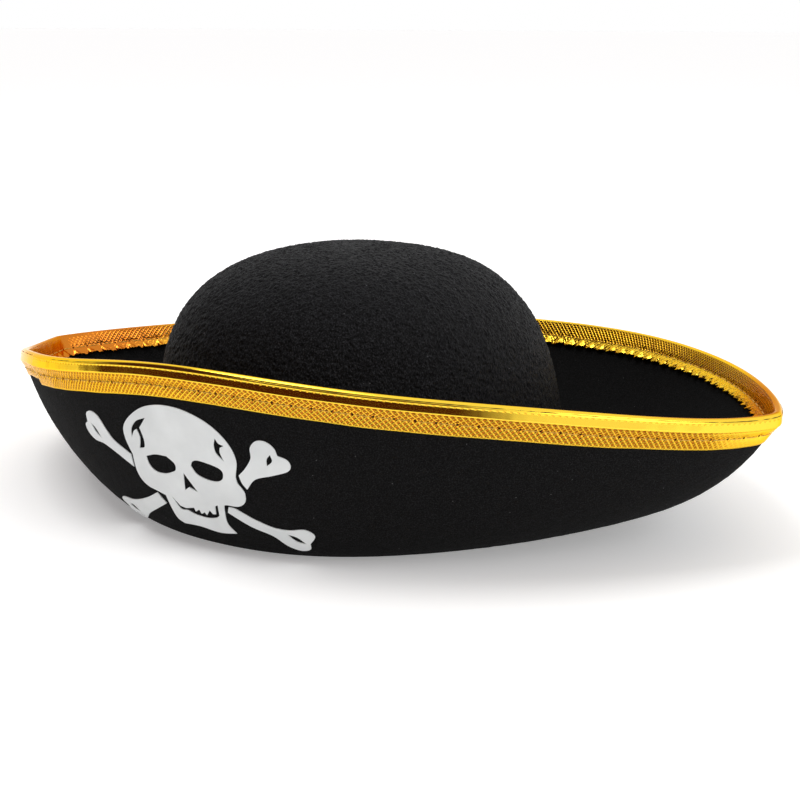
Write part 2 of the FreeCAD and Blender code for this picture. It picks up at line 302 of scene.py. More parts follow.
# Felt grain: sizes in mm, with pebbles, finer fibres and a few specks of lint
def feltGrainGroup():
    group, given, out = newGroup(
        "feltGrain",
        [
            ("Vector", "NodeSocketVector", None),
            ("Pebble Size", "NodeSocketFloat", 1.6),
            ("Fibre Size", "NodeSocketFloat", 0.4),
            ("Pebble Share", "NodeSocketFloat", 0.6),
            ("Lint Amount", "NodeSocketFloat", 0.5),
        ],
        [("Height", "NodeSocketFloat"), ("Fibre", "NodeSocketFloat"), ("Lint", "NodeSocketFloat")],
    )
    link = group.links.new
    toMm = node(group, "ShaderNodeVectorMath", operation="SCALE")
    toMm.inputs["Scale"].default_value = 1000
    link(given["Vector"], toMm.inputs[0])
    pebbles = node(group, "ShaderNodeTexVoronoi", feature="SMOOTH_F1")
    pebbles.inputs["Smoothness"].default_value = 0.6
    link(toMm.outputs[0], pebbles.inputs["Vector"])
    link(mathNode(group, "DIVIDE", 1.0, given["Pebble Size"]), pebbles.inputs["Scale"])
    fibres = node(group, "ShaderNodeTexNoise")
    fibres.inputs["Detail"].default_value = 4
    fibres.inputs["Roughness"].default_value = 0.7
    link(toMm.outputs[0], fibres.inputs["Vector"])
    link(mathNode(group, "DIVIDE", 1.0, given["Fibre Size"]), fibres.inputs["Scale"])
    broad = node(group, "ShaderNodeTexNoise")
    broad.inputs["Detail"].default_value = 2
    link(toMm.outputs[0], broad.inputs["Vector"])
    link(mathNode(group, "DIVIDE", 0.3, given["Pebble Size"]), broad.inputs["Scale"])
    mound = mathNode(group, "MULTIPLY_ADD", pebbles.outputs["Distance"], -1.0, 1.0)
    mound = mathNode(group, "MULTIPLY", mound, broad.outputs[0])
    mound = mathNode(group, "MULTIPLY", mound, given["Pebble Share"])
    rest = mathNode(group, "SUBTRACT", 1.0, given["Pebble Share"])
    hair = mathNode(group, "MULTIPLY", fibres.outputs[0], rest)
    link(mathNode(group, "ADD", mound, hair), out["Height"])
    link(fibres.outputs[0], out["Fibre"])
    specks = node(group, "ShaderNodeTexVoronoi", feature="F1")
    specks.inputs["Scale"].default_value = 0.16  # about 6 mm from speck to speck
    link(toMm.outputs[0], specks.inputs["Vector"])
    near = mathNode(group, "LESS_THAN", specks.outputs["Distance"], 0.035)
    link(mathNode(group, "MULTIPLY", near, given["Lint Amount"]), out["Lint"])
    return group


feltGrain = feltGrainGroup()


def feltMaterial(name, look):
    material, tree, shader = newMaterial(name)
    link = tree.links.new
    coords = node(tree, "ShaderNodeTexCoord")
    stretch = node(tree, "ShaderNodeMapping")
    stretch.inputs["Scale"].default_value = look["stretch"]
    link(coords.outputs["Object"], stretch.inputs[0])
    grain = tree.nodes.new("ShaderNodeGroup")
    grain.node_tree = feltGrain
    link(stretch.outputs[0], grain.inputs["Vector"])
    for label in ("Pebble Size", "Fibre Size", "Pebble Share", "Lint Amount"):
        grain.inputs[label].default_value = look[label]
    colour = rampNode(tree, grain.outputs["Fibre"], look["colours"])
    link(mixColour(tree, grain.outputs["Lint"], colour, look["lint"]), shader.inputs["Base Color"])
    bump = node(tree, "ShaderNodeBump")
    bump.inputs["Strength"].default_value = look["bump"]
    bump.inputs["Distance"].default_value = look["relief"]
    link(grain.outputs["Height"], bump.inputs["Height"])
    link(bump.outputs[0], shader.inputs["Normal"])
    shader.inputs["Roughness"].default_value = look["roughness"]
    shader.inputs["Specular IOR Level"].default_value = look["specular"]
    return material


crownLook = {
    "stretch": (1.0, 1.0, 0.72),
    "Pebble Size": 1.0,
    "Fibre Size": 0.55,
    "Pebble Share": 0.66,
    "Lint Amount": 0.5,
    "colours": [
        (0.38, (0.0005, 0.0005, 0.0006)),
        (0.50, (0.0022, 0.0022, 0.0026)),
        (0.64, (0.030, 0.030, 0.034)),
    ],
    "lint": (0.25, 0.25, 0.27),
    "bump": 1.0,
    "relief": 1.6 * mm,
    "roughness": 0.55,
    "specular": 0.09,
}
brimLook = {
    "stretch": (1.0, 1.0, 1.0),
    "Pebble Size": 1.3,
    "Fibre Size": 0.5,
    "Pebble Share": 0.35,
    "Lint Amount": 0.5,
    "colours": [
        (0.36, (0.002, 0.002, 0.002)),
        (0.5, (0.0055, 0.0055, 0.0055)),
        (0.68, (0.018, 0.018, 0.019)),
    ],
    "lint": (0.16, 0.16, 0.16),
    "bump": 0.8,
    "relief": 0.7 * mm,
    "roughness": 0.85,
    "specular": 0.06,
}

# The crown is one dome of coarse felt, with an outer and an inner face
crown = {
    "columns": 900,
    "outerRows": 230,
    "innerRows": 34,
    "firstRow": 0.0085,  # share of the profile below the first row
    "rowBias": 0.93,
    "pebble": 0.40 * mm,
    "pebbleSize": 0.95 * mm,
    "clumpShare": 0.2,
    "dent": 0.6 * mm,
    "dentSize": 34 * mm,
    "innerShare": 0.4,
    "smoothBelow": 3 * mm,
    "smoothFade": 6 * mm,
}


def crownPoint(phi, t, inset):
    halfWidth = hat["openingHalfWidth"] + felt - inset
    halfLength = hat["openingHalfLength"] + felt - inset
    height = hat["crownHeight"] - inset
    rim = planPoint(phi, halfWidth, halfLength)
    lean = np.array([0, -hat["crownLean"], 0])
    up = np.array([0, 0, height])
    full = hat["crownFullness"]
    side = rim + lean * hat["crownSideLean"] + up * full
    shoulder = rim * full + lean + up
    return cubic((rim, side, shoulder, np.broadcast_to(up + lean, rim.shape)), t)


def buildCrown():
    cols = crown["columns"]
    phi = np.arange(cols) * 2 * math.pi / cols
    start = crown["firstRow"]
    outerT = start + (1 - start) * np.linspace(0, 1, crown["outerRows"] + 1)[:-1] ** crown["rowBias"]
    innerT = (start + (1 - start) * np.linspace(0, 1, crown["innerRows"] + 1)[:-1])[::-1]
    turn, climb = 0.01, 0.004  # small steps that give the surface normal
    grids = []
    for ts, inset in ((outerT, 0.0), (innerT, felt)):
        p, t = np.meshgrid(phi, ts, indexing="ij")
        points = crownPoint(p, t, inset)
        across = crownPoint(p + turn, t, inset) - crownPoint(p - turn, t, inset)
        along = crownPoint(p, t + climb, inset) - crownPoint(p, t - climb, inset)
        normal = unit(np.cross(across, along))
        rough = surfaceNoise(points, crown["pebbleSize"], 3)
        rough = rough + crown["clumpShare"] * surfaceNoise(points, crown["pebbleSize"] * 3, 5)
        dents = surfaceNoise(points, crown["dentSize"], 9) * crown["dent"]
        rise = (rough * crown["pebble"] + dents) * (1 if inset == 0 else crown["innerShare"])
        rise = rise * np.clip((points[..., 2] - crown["smoothBelow"]) / crown["smoothFade"], 0, 1)
        grids.append(points + normal * rise[..., None])
    rows = crown["outerRows"] + crown["innerRows"]
    grid = np.concatenate(grids, 1)
    verts = grid.reshape(-1, 3)
    tops = [crownPoint(np.array([0.0]), np.array([1.0]), inset)[0] for inset in (0.0, felt)]
    verts = np.vstack([verts, tops])
    topOuter, topInner = len(verts) - 2, len(verts) - 1
    faces = []
    lastOuter = crown["outerRows"] - 1
    for i in range(cols):
        a, b = i * rows, ((i + 1) % cols) * rows
        for j in range(rows):
            if j == lastOuter:
                faces.append((a + j, b + j, topOuter))
                faces.append((b + j + 1, a + j + 1, topInner))
                continue
            k = (j + 1) % rows
            faces.append((a + j, b + j, b + k, a + k))
    obj = meshObject("crownFelt", verts, faces)
    obj.data.materials.append(feltMaterial("crownFelt", crownLook))
    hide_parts("crown_felt")
    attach(obj, "root")
    print("crown built:", len(obj.data.polygons), "faces")
    return obj


crownFelt = buildCrown()

# The brim turns up all round; its faces meet at the head opening and at the edge
brim = {
    "columns": 660,
    "outerRows": 84,
    "innerRows": 62,
    "grain": 0.10 * mm,
    "grainSize": 2.4 * mm,
    "smoothFade": 4 * mm,
}


def buildBrim():
    cols = brim["columns"]
    phi = np.arange(cols) * 2 * math.pi / cols
    openWidth, openLength = hat["openingHalfWidth"], hat["openingHalfLength"]
    outerT = np.linspace(0, 1, brim["outerRows"])
    innerT = np.linspace(1, 0, brim["innerRows"])
    p, t = np.meshgrid(phi, outerT, indexing="ij")
    outer = brimPoint(p, t, np.zeros_like(t))
    p, t = np.meshgrid(phi, innerT, indexing="ij")
    inner = brimPoint(p, t, np.full_like(t, -felt))
    opening = planPoint(phi, openWidth, openLength)
    thirds = (0.33, 0.67)
    low = [opening + (outer[:, 0] - opening) * s for s in (0, *thirds)]
    high = [inner[:, -1] + (opening + [0, 0, felt] - inner[:, -1]) * s for s in (*thirds, 1)]
    grid = np.concatenate([np.stack(low, 1), outer, inner, np.stack(high, 1)], 1)
    rough = surfaceNoise(grid, brim["grainSize"], 11) + 0.5 * surfaceNoise(grid, brim["grainSize"] / 2, 12)
    lengthways = np.roll(grid, -1, 0) - np.roll(grid, 1, 0)
    crossways = np.roll(grid, -1, 1) - np.roll(grid, 1, 1)
    normal = unit(np.cross(lengthways, crossways))
    aboveFloor = np.clip(grid[..., 2] / brim["smoothFade"], 0, 1)[..., None]
    grid = grid + normal * (rough * brim["grain"])[..., None] * aboveFloor
    obj = ringObject("brimFelt", grid)
    obj.data.materials.append(feltMaterial("brimFelt", brimLook))
    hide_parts("brim_felt")
    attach(obj, "root")
    print("brim built:", len(obj.data.polygons), "faces")
    return obj


brimFelt = buildBrim()

# The gold ribbon folds over the brim's edge, and one line of stitches holds both legs
stitchCount = round(edgeLength / (7.6 * mm))
stitchPitch = edgeLength / stitchCount
binding = {
    "columns": 1400,
    "tape": 0.35 * mm,
    "outerDepth": 12.5 * mm,
    "innerDepth": 12.2 * mm,
    "crease": 4.2 * mm,
    "stitchDepth": 7.6 * mm,
    "dimple": 0.40 * mm,
    "innerDimple": 0.32 * mm,
    "dimpleSize": 1.3 * mm,
    "flare": 0.15 * mm,
    "pucker": 1.35 * mm,
    "sawTooth": 1.1 * mm,
    "lapAngle": math.radians(239),
    "lapDrop": 2.2 * mm,
    "lapRise": 0.35 * mm,
    "lapLength": 26 * mm,
    "lapSoft": 4 * mm,
    "lapCut": 0.02 * mm,
    "thinLength": 75 * mm,
    "thinFade": 50 * mm,
    "foldFoot": 0.3 * mm,
    "foldShare": 0.26,
    "foldSoft": 0.7 * mm,
    "ripple": 0.12 * mm,
    "ripplePitch": 2.3 * mm,
    "clearance": 0.12 * mm,
    "foldDepth": 0.3 * mm,
    "foldRows": 6,
}
# Noise along the ribbon: its length, its height and its seed
ribbonWaves = {
    "slow": (9 * mm, 0.10 * mm, 3),
    "quick": (2.6 * mm, 0.04 * mm, 7),
    "hem": (17 * mm, 0.18 * mm, 4),
    "skew": (12 * mm, 1.1 * mm, 8),
    "foldWidth": (10 * mm, 0.10, 5),
    "foldHeight": (13 * mm, 0.35, 5),
    "rippleDrift": (6 * mm, 3, 2),
    "inner": (3.1 * mm, 0.10 * mm, 9),
    "outerBorder": (15 * mm, 0.15 * mm, 1),
    "innerBorder": (4 * mm, 0.3 * mm, 6),
}
# The ribbon's section from its outer border over the brim edge to its inner border: depth below the
# edge, height off the felt's outer face, and place across the ribbon, all in mm
ribbonSection = [
    (12.5, 0.45, 12.5), (10.5, 0.62, 10.5), (9.0, 0.74, 9.0), (7.6, 0.70, 7.6), (6.4, 1.00, 6.4),
    (5.3, 1.30, 5.3), (4.6, 1.42, 4.6), (4.2, 1.44, 4.2), (3.9, 1.60, 3.9), (3.5, 1.72, 3.5),
    (2.7, 1.36, 2.7), (1.8, 0.92, 1.8), (0.9, 0.48, 0.9), (0.2, 0.06, 0.1), (-0.35, -0.55, -0.7),
    (-0.6, -1.25, -1.5), (-0.4, -2.05, -2.3), (0.15, -2.75, -3.1), (0.9, -3.10, -3.9), (2.0, -3.22, -5.1),
    (4.0, -3.24, -7.1), (6.0, -3.18, -9.1), (7.6, -2.98, -10.7), (9.4, -3.16, -12.5), (12.2, -3.34, -15.3),
]
lapRun = np.interp(binding["lapAngle"], edgeSamples, edgeRun)
print("edge length", round(edgeLength, 4), "m,", stitchCount, "stitches")


def smoothRow(points, steps):
    p = np.array(points, float)
    ends = np.vstack([2 * p[0] - p[1], p, 2 * p[-1] - p[-2]])
    s = np.linspace(0, 1, steps, endpoint=False)[:, None]
    out = []
    for a, b, c, d in zip(ends, ends[1:], ends[2:], ends[3:]):
        bend = (2 * a - 5 * b + 4 * c - d) * s**2 + (3 * b - a - 3 * c + d) * s**3
        out.append(0.5 * (2 * b + (c - a) * s + bend))
    return np.vstack(out + [p[-1:]])


def wave(name, run):
    length, height, seed = ribbonWaves[name]
    return hashNoise(run / length, seed) * height


def nearStitch(run, depth):
    along = ((run / stitchPitch + 0.5) % 1 - 0.5) * stitchPitch
    return np.exp(-(along**2 + (depth - binding["stitchDepth"]) ** 2) / binding["dimpleSize"] ** 2)


def lapShape(run):
    after = (run - lapRun) % edgeLength
    before = (lapRun - run) % edgeLength
    raised = np.clip((binding["lapLength"] - after) / binding["lapSoft"], 0, 1)
    thin = np.clip((binding["thinLength"] - before) / binding["thinFade"], 0, 1)
    return raised, thin * (before > 0)


def outerDetail(run, depth):
    b = binding
    below = np.clip(depth / b["crease"], 0, 1)
    uneven = wave("slow", run) + wave("quick", run)
    hem = np.clip((depth - b["stitchDepth"]) / (4 * mm), 0, 1) * wave("hem", run)
    return uneven * below - nearStitch(run, depth) * b["dimple"] + hem + lapShape(run)[0] * b["lapRise"]


# Below the stitches the inner leg is loose: it stands off the felt in a small pucker at each stitch
def innerDetail(run, depth):
    b = binding
    share = np.clip((depth - b["stitchDepth"]) / (b["innerDepth"] - b["stitchDepth"]), 0, 1.15)
    skew = share * wave("skew", run)
    along = np.abs(((run + skew) / stitchPitch + 0.5) % 1 - 0.5) * stitchPitch
    half = b["foldFoot"] + share * stitchPitch * (b["foldShare"] + wave("foldWidth", run))
    fold = np.clip((half - along) / b["foldSoft"], 0, 1)
    amount = 1.0 + wave("foldHeight", run)
    ripple = np.sin(2 * math.pi * run / b["ripplePitch"] + wave("rippleDrift", run)) * b["ripple"]
    flare = share * (b["flare"] + fold * b["pucker"] * amount + ripple)
    uneven = wave("inner", run) * np.clip(depth / b["crease"], 0, 1)
    return flare + uneven - nearStitch(run, depth) * b["innerDimple"]


def buildBinding():
    b = binding
    cut = [lapRun - b["lapCut"], lapRun + b["lapCut"]]
    run = np.unique(np.concatenate([np.arange(b["columns"]) * edgeLength / b["columns"], cut]))
    cols = len(run)
    phi = phiAlong(run)
    section = smoothRow(ribbonSection, 3) * mm
    depth0, lift0, across = section.T
    top = int(np.argmin(depth0))
    thin = lapShape(run)[1]
    outerEnd = b["outerDepth"] + wave("outerBorder", run) - thin * b["lapDrop"]
    saw = ((run / stitchPitch + 0.5) % 1 - 0.5) * b["sawTooth"]
    innerEnd = b["innerDepth"] + saw + wave("innerBorder", run)
    limit = b["clearance"] + b["tape"]
    depths = np.empty((cols, len(depth0)))
    lifts = np.empty_like(depths)
    for j in range(len(depth0)):
        outer = j <= top
        end, full = (outerEnd, b["outerDepth"]) if outer else (innerEnd, b["innerDepth"])
        share = np.clip((depth0[j] - b["crease"]) / (full - b["crease"]), 0, 1)
        depths[:, j] = depth0[j] + (end - full) * share
        fade = np.clip(abs(j - top) / b["foldRows"], 0, 1)
        detail = outerDetail(run, depths[:, j]) if outer else -innerDetail(run, depths[:, j])
        lifts[:, j] = lift0[j] + detail * fade
        if depth0[j] > b["foldDepth"] and outer:
            lifts[:, j] = np.maximum(lifts[:, j], limit)
        elif depth0[j] > b["foldDepth"]:
            lifts[:, j] = np.minimum(lifts[:, j], -felt - limit)
    t = depthToT(phi, depths)
    face = brimPoint(np.repeat(phi[:, None], len(depth0), 1), t, lifts)
    lengthways = np.roll(face, -1, 0) - np.roll(face, 1, 0)
    crossways = np.gradient(face, axis=1)
    normal = unit(np.cross(lengthways, crossways))
    back = (face - normal * b["tape"])[:, ::-1]
    grid = np.concatenate([face, back], 1)
    obj = ringObject("goldBinding", grid, (run, np.concatenate([across, across[::-1]])))
    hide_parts("gold_binding")
    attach(obj, "root")
    print("binding built:", len(obj.data.polygons), "faces")
    return obj


# In mm: run goes along the ribbon, and across is 0 at the fold and negative on the inner leg.
# A band is its two borders and the softness of both
weave = {
    "cellRun": 2.3,
    "cellAcross": 2.2,
    "relief": 0.34 * mm,
    "outerNet": (3.9, 12.1, 0.25),
    "innerNet": (-10.6, -3.6, 0.2),
    "frill": (-15.8, -10.7, 0.2),
    "frillShare": 0.3,
    "innerDarkReflection": (-10.2, -3.9, 0.2),
    "innerLeg": (-16.0, -1.6, 0.6),
    "tautFrom": 0.168,  # half the hat's length where the net starts to smooth out, and where it is smooth
    "tautTo": 0.184,
    "tautNet": 0.1,
    # Painted reflection at the tips: where it starts and where it is full, as half the hat's length
    "tipReflectionFrom": 0.138,
    "tipReflectionTo": 0.170,
    "knotPitch": 2.5,
    "knotRows": (0.9, 3.9),
    "knotNarrowing": 1.5,
    "knotHeight": 0.62,
    "knotDepth": 0.34,
    "smoothLevel": 0.9,
    "outerHoles": 7.6,
    "innerHoles": -10.6,
    "holeRadius": 0.62,
    # Colours of the foil: valley and slope are painted shade in the net's hollows and the knots' dents, and
    # ridge is the gold itself
    "valleyShade": (0.48, 0.15, 0.012),
    "slope": (0.95, 0.52, 0.034),
    "ridge": (1.0, 0.67, 0.055),
    # gap: painted dark reflection between the threads of the inner net
    "gap": (0.16, 0.045, 0.008),
    # painted reflection: the inner leg near the tips is tinted brown
    "tipReflection": (0.62, 0.19, 0.018),
    "hole": (0.045, 0.010, 0.004),
    "polish": 0.08,
    "rub": 0.12,
}


def fishnetGroup():
    group, given, out = newGroup(
        "foilFishnet",
        [("Run", "NodeSocketFloat", 0.0), ("Across", "NodeSocketFloat", 0.0),
         ("Cell Run", "NodeSocketFloat", 1.7), ("Cell Across", "NodeSocketFloat", 1.9)],
        [("Height", "NodeSocketFloat")],
    )
    u = mathNode(group, "DIVIDE", given["Run"], given["Cell Run"])
    v = mathNode(group, "DIVIDE", given["Across"], given["Cell Across"])
    waves = []
    for way in ("ADD", "SUBTRACT"):
        turn = mathNode(group, "MULTIPLY", mathNode(group, way, u, v), 2 * math.pi)
        waves.append(mathNode(group, "MULTIPLY_ADD", mathNode(group, "SINE", turn), 0.5, 0.5))
    crossed = mathNode(group, "MAXIMUM", waves[0], mathNode(group, "MULTIPLY", waves[1], 0.88))
    group.links.new(mathNode(group, "POWER", crossed, 3.0), out["Height"])
    return group


def knotRows(tree, u, v):
    knots = None
    for k, row in enumerate(weave["knotRows"]):
        place = mathNode(tree, "MULTIPLY_ADD", u, 1 / weave["knotPitch"], 0.5 * k)
        along = mathNode(tree, "SUBTRACT", mathNode(tree, "FRACT", place), 0.5)
        along = mathNode(tree, "MULTIPLY", along, weave["knotNarrowing"])
        aside = mathNode(tree, "DIVIDE", mathNode(tree, "SUBTRACT", v, row), weave["knotHeight"])
        far = mathNode(tree, "ADD", squared(tree, along), squared(tree, aside))
        knot = rangeNode(tree, far, 0.02, 0.22, 1.0, 0.0)
        knots = knot if knots is None else mathNode(tree, "ADD", knots, knot)
    return knots


def stitchHoles(tree, u, v):
    pitch = stitchPitch / mm
    along = mathNode(tree, "PINGPONG", mathNode(tree, "DIVIDE", u, pitch), 0.5)
    along = mathNode(tree, "MULTIPLY", along, pitch)
    outerSide = mathNode(tree, "ABSOLUTE", mathNode(tree, "SUBTRACT", v, weave["outerHoles"]))
    innerSide = mathNode(tree, "ABSOLUTE", mathNode(tree, "SUBTRACT", v, weave["innerHoles"]))
    aside = mathNode(tree, "MINIMUM", outerSide, innerSide)
    far = mathNode(tree, "ADD", squared(tree, along), squared(tree, aside))
    return rangeNode(tree, far, 0.10, weave["holeRadius"] ** 2, 1.0, 0.0)


def goldMaterial():
    w = weave
    material, tree, shader = newMaterial("goldRibbon")
    link = tree.links.new
    uv = node(tree, "ShaderNodeUVMap", uv_map="run")
    split = node(tree, "ShaderNodeSeparateXYZ")
    link(uv.outputs[0], split.inputs[0])
    u = mathNode(tree, "MULTIPLY", split.outputs[0], 1 / mm)
    v = mathNode(tree, "MULTIPLY", split.outputs[1], 1 / mm)
    coords = node(tree, "ShaderNodeTexCoord")
    where = node(tree, "ShaderNodeSeparateXYZ")
    link(coords.outputs["Object"], where.inputs[0])
    towardTip = mathNode(tree, "ABSOLUTE", where.outputs[0])
    net = tree.nodes.new("ShaderNodeGroup")
    net.node_tree = fishnetGroup()
    link(u, net.inputs["Run"])
    link(v, net.inputs["Across"])
    net.inputs["Cell Run"].default_value = w["cellRun"]
    net.inputs["Cell Across"].default_value = w["cellAcross"]
    frill = bandMask(tree, v, *w["frill"])
    innerNet = mathNode(tree, "MULTIPLY_ADD", frill, w["frillShare"], bandMask(tree, v, *w["innerNet"]))
    bothNets = mathNode(tree, "ADD", bandMask(tree, v, *w["outerNet"]), innerNet)
    loose = rangeNode(tree, towardTip, w["tautFrom"], w["tautTo"], 1.0, w["tautNet"])
    height = node(tree, "ShaderNodeMix", data_type="FLOAT")  # net beside the plain band with its knots
    link(mathNode(tree, "MULTIPLY", bothNets, loose), height.inputs["Factor"])
    plain = mathNode(tree, "MULTIPLY_ADD", knotRows(tree, u, v), -w["knotDepth"], w["smoothLevel"])
    link(plain, height.inputs["A"])
    link(net.outputs["Height"], height.inputs["B"])
    # The colour follows the relief: hollows and knot dents get painted shade, darker than the gold ridges
    stops = [(0.1, w["valleyShade"]), (0.4, w["slope"]), (0.85, w["ridge"])]
    colour = rampNode(tree, height.outputs["Result"], stops)
    # Painted dark reflection: the inner net's hollows are tinted dark brown
    darkReflection = rangeNode(tree, net.outputs["Height"], 0.15, 0.6, 0.85, 0.0, "LINEAR")
    darkReflection = mathNode(tree, "MULTIPLY", darkReflection, bandMask(tree, v, *w["innerDarkReflection"]))
    colour = mixColour(tree, mathNode(tree, "MULTIPLY", darkReflection, loose), colour, w["gap"])
    # Painted reflection: the inner leg turns brown toward the tips
    tipReflectionShare = rangeNode(tree, towardTip, w["tipReflectionFrom"], w["tipReflectionTo"])
    innerLeg = bandMask(tree, v, *w["innerLeg"])
    colour = mixColour(tree, mathNode(tree, "MULTIPLY", tipReflectionShare, innerLeg), colour, w["tipReflection"])
    colour = mixColour(tree, stitchHoles(tree, u, v), colour, w["hole"])
    link(colour, shader.inputs["Base Color"])
    bump = node(tree, "ShaderNodeBump")
    bump.inputs["Strength"].default_value = 1.0
    bump.inputs["Distance"].default_value = w["relief"]
    link(height.outputs["Result"], bump.inputs["Height"])
    link(bump.outputs[0], shader.inputs["Normal"])
    rub = node(tree, "ShaderNodeTexNoise")
    rub.inputs["Scale"].default_value = 90
    link(coords.outputs["Object"], rub.inputs["Vector"])
    dull = mathNode(tree, "MULTIPLY_ADD", rub.outputs[0], w["rub"], w["polish"])
    link(dull, shader.inputs["Roughness"])
    shader.inputs["Metallic"].default_value = 1.0
    shader.inputs["Specular Tint"].default_value = (1.0, 0.70, 0.32, 1)
    shader.inputs["Coat Weight"].default_value = 0.06
    shader.inputs["Coat Roughness"].default_value = 0.08
    return material


goldBinding = buildBinding()
goldBinding.data.materials.append(goldMaterial())

# Each stitch is a short thread on the ribbon, sunk at both ends; a face is where the ribbon lies there
thread = {
    "radius": 0.16 * mm,
    "sides": 6,
    "segments": 8,
    "share": 0.86,
    "outerFace": 0.70 * mm,
    "innerFace": 2.98 * mm,
    "sink": 0.25 * mm,
    "sinkShare": 1 / 8,
    "endTaper": 0.5,
}


def stitchLine(k, side):
    shares = np.linspace(0, 1, thread["segments"] + 1)
    run = (k + 0.5 + (shares - 0.5) * thread["share"]) * stitchPitch
    depth = np.full(len(shares), binding["stitchDepth"])
    if side > 0:
        lift = thread["outerFace"] + outerDetail(run % edgeLength, depth) + thread["radius"] * 0.5
    else:
        lift = -thread["innerFace"] - innerDetail(run % edgeLength, depth) - thread["radius"] * 0.5
    fromEnd = np.minimum(shares, 1 - shares) / thread["sinkShare"]
    sink = np.clip(1 - fromEnd, 0, 1) * thread["sink"] * side
    phi = phiAlong(run % edgeLength)
    ts = depthToT(phi, depth[:, None])[:, 0]
    centre = brimPoint(phi, ts, lift - sink)
    outwards = unit(brimPoint(phi, ts, lift + 1 * mm) - brimPoint(phi, ts, lift))
    return centre, outwards


def buildThread(name, cadNode, side):
    sides, segments = thread["sides"], thread["segments"]
    verts, faces = [], []
    for k in range(stitchCount):
        centre, outwards = stitchLine(k, side)
        sideways = unit(np.cross(unit(np.gradient(centre, axis=0)), outwards))
        base = len(verts)
        for i in range(segments + 1):
            radius = thread["radius"] * (1.0 if 0 < i < segments else thread["endTaper"])
            for q in range(sides):
                a = 2 * math.pi * q / sides
                verts.append(centre[i] + (outwards[i] * math.cos(a) + sideways[i] * math.sin(a)) * radius)
        for i in range(segments):
            near, far = base + i * sides, base + (i + 1) * sides
            for q in range(sides):
                r = (q + 1) % sides
                faces.append((near + q, near + r, far + r, far + q))
        faces.append(tuple(base + q for q in range(sides))[::-1])
        faces.append(tuple(base + segments * sides + q for q in range(sides)))
    obj = meshObject(name, np.array(verts), faces)
    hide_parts(cadNode)
    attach(obj, "root")
    return obj


def threadMaterial(name, colour, roughness):
    material, tree, shader = newMaterial(name)
    link = tree.links.new
    coords = node(tree, "ShaderNodeTexCoord")
    twist = node(tree, "ShaderNodeTexNoise")
    twist.inputs["Scale"].default_value = 1500
    link(coords.outputs["Object"], twist.inputs["Vector"])
    shade = rampNode(tree, twist.outputs[0], [(0.3, tuple(c * 0.55 for c in colour)), (0.7, colour)])
    link(shade, shader.inputs["Base Color"])
    bump = node(tree, "ShaderNodeBump")
    bump.inputs["Strength"].default_value = 0.4
    bump.inputs["Distance"].default_value = 0.1 * mm
    link(twist.outputs[0], bump.inputs["Height"])
    link(bump.outputs[0], shader.inputs["Normal"])
    shader.inputs["Roughness"].default_value = roughness
    return material


goldThread = threadMaterial("goldThread", (0.90, 0.52, 0.06), 0.45)
blackThread = threadMaterial("blackThread", (0.03, 0.03, 0.032), 0.7)
for name, cadNode, side in (("needleThread", "binding_needle_thread", 1),
                            ("bobbinThread", "binding_bobbin_thread", -1)):
    buildThread(name, cadNode, side).data.materials.append(goldThread)
print("binding threads built")

# The prints lie on the front of the brim. Their outlines are in mm across and up, as stretches that
# run on from each other: two points are a straight line, and more are a smooth curve
emblem = {
    "top": 0.32 * mm,
    "underside": 0.02 * mm,
    "grid": 1.1 * mm,
    "rowShare": 0.87,
    "edgeClear": 0.55,
    "edgeStep": 0.6 * mm,
    "curveSteps": 12,
}
skullOutline = [
    [(22.8, 36), (24.9, 43.5), (22.6, 50.8), (16, 57.3), (6, 61.3), (-4, 62), (-14, 59.8),
     (-22.8, 54.8), (-28.4, 49.3), (-29.3, 43.8), (-27.6, 37.5)],
    [(-27.6, 37.5), (-28.3, 31.5), (-27.4, 27), (-24.3, 24.1), (-19.5, 22.8)],
    [(-19.5, 22.8), (-15.6, 21.7)],
    [(-15.6, 21.7), (-15, 15.5), (-14, 11.3), (-11.3, 9.5)],
    [(-11.3, 9.5), (-3, 9.8), (6, 8.6), (14.2, 9.6)],
    [(14.2, 9.6), (11.9, 14), (13, 20.6)],
    [(13, 20.6), (14.2, 22.7), (19.8, 22.9), (23.6, 25.2), (24.8, 29.5), (22.9, 33.5), (22.8, 36)],
]
leftEye = [
    [(-19.7, 38.2), (-14, 39.9), (-8.2, 40.1)],
    [(-8.2, 40.1), (-5, 37.6), (-5.3, 34.8), (-8, 33.2), (-12, 32), (-16.8, 32.2), (-19.2, 34.6),
     (-19.7, 38.2)],
]
rightEye = [
    [(3.1, 38), (4.6, 40), (7.8, 40.8), (15, 39.4), (17.5, 37.6), (16.8, 34.6), (14, 32.9),
     (9.6, 33), (5, 34.7), (3.1, 38)],
]
nose = [
    [(-1.7, 34.2), (0.5, 30.4), (2.7, 26.6)],
    [(2.7, 26.6), (-1, 28)],
    [(-1, 28), (-3.7, 26.2)],
    [(-3.7, 26.2), (-2.7, 30.2), (-1.7, 34.2)],
]
toothTips = [(-12.1, 21.9), (-9.3, 18.1), (-6.5, 17.6), (-2.2, 18.6), (-2, 16.9), (0.2, 18.2), (0.7, 16.4),
              (2.6, 17.4), (3.2, 16.2), (5.5, 18.9), (6.5, 17.3), (8, 17.5), (9, 21.3), (10.4, 22),
              (9.5, 17.2)]
teeth = [[a, b] for a, b in zip(toothTips, toothTips[1:])] + [
    [(9.5, 17.2), (7.4, 15.8), (3, 15), (-2.5, 15.5), (-6, 16.7), (-9.8, 16.9), (-12.1, 21.9)],
]
